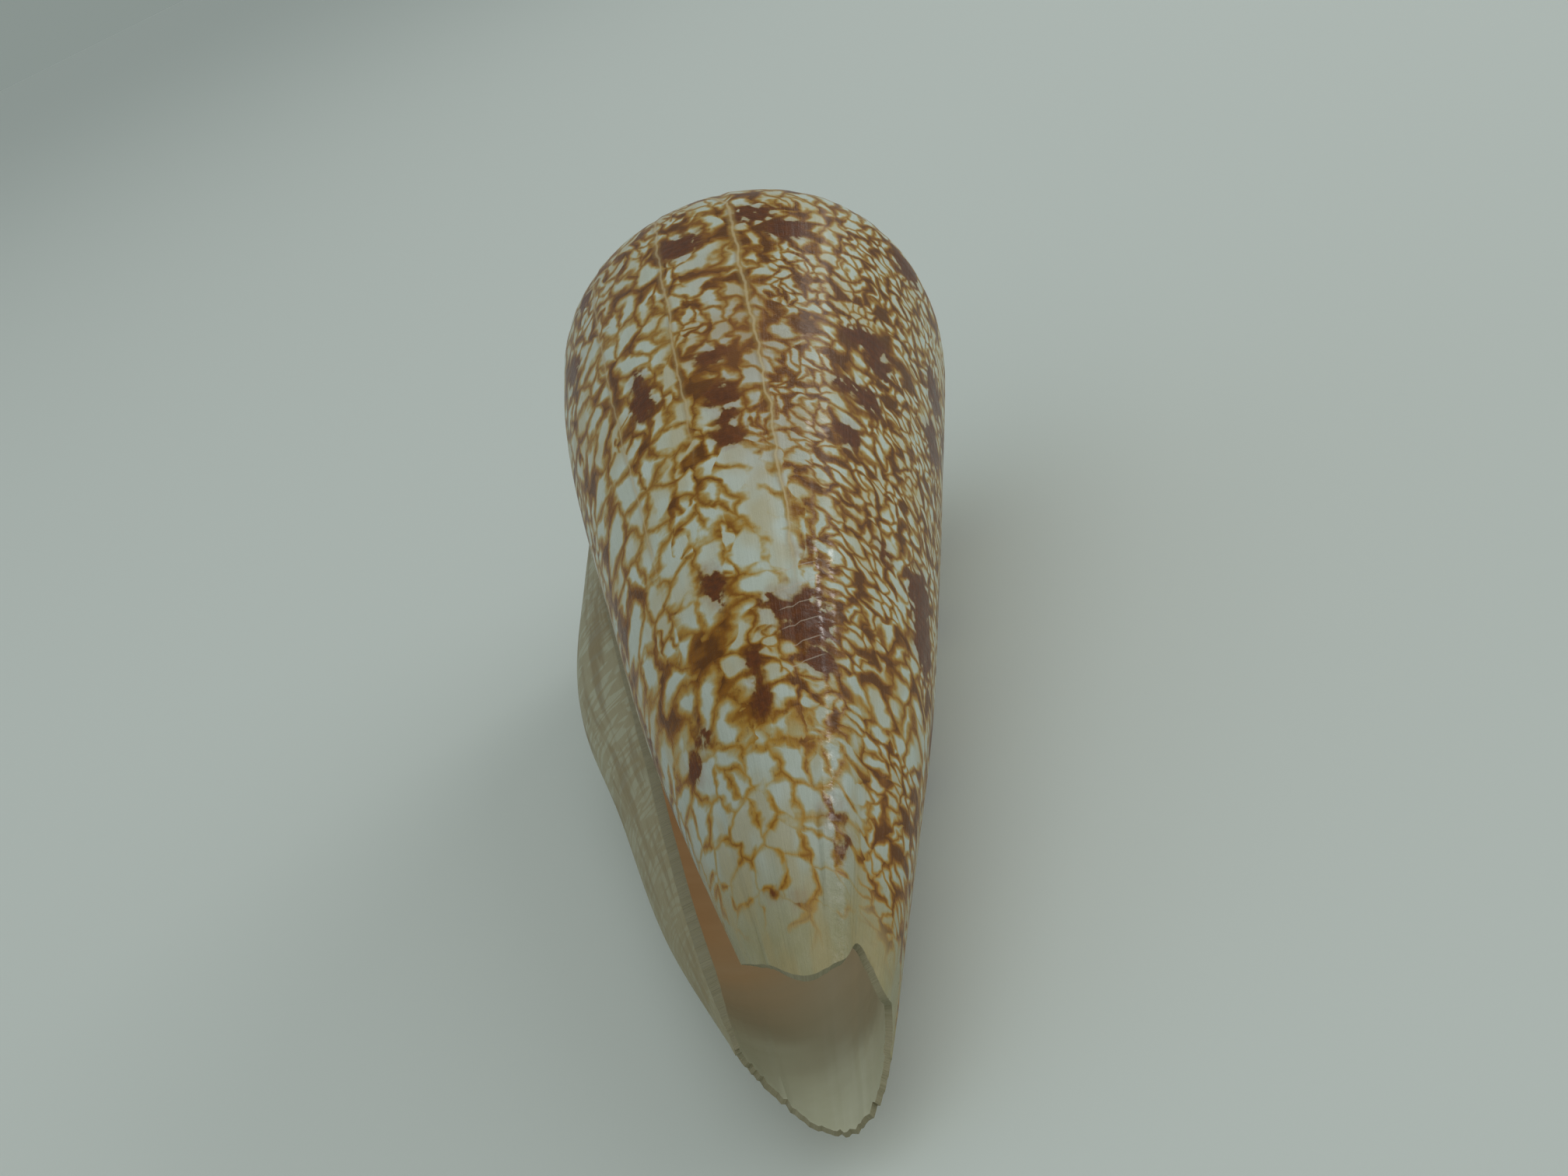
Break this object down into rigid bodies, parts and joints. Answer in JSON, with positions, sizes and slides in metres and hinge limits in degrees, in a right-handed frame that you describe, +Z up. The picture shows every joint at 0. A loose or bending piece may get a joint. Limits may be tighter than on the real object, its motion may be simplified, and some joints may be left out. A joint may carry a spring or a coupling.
{
  "type": "cone snail shell",
  "caption": "Slender cone shell with a round shoulder, low spire, tented brown and white pattern, narrow side aperture and open front end.",
  "frame": {"origin": "centre of the base: middle of the bounding box in X and Y, on the surface it lies on", "axes": "+Z up; the shell lies on its back with its narrow front end toward -Y, its spire toward +Y and its belly up; the aperture opens on the -X side"},
  "size_m": [0.0272, 0.0672, 0.0262],
  "materials": {
    "shell_wall": "gloss"
  },
  "bodies": {
    "root": {"cone_shell": "shell_wall"}
  },
  "joints": []
}
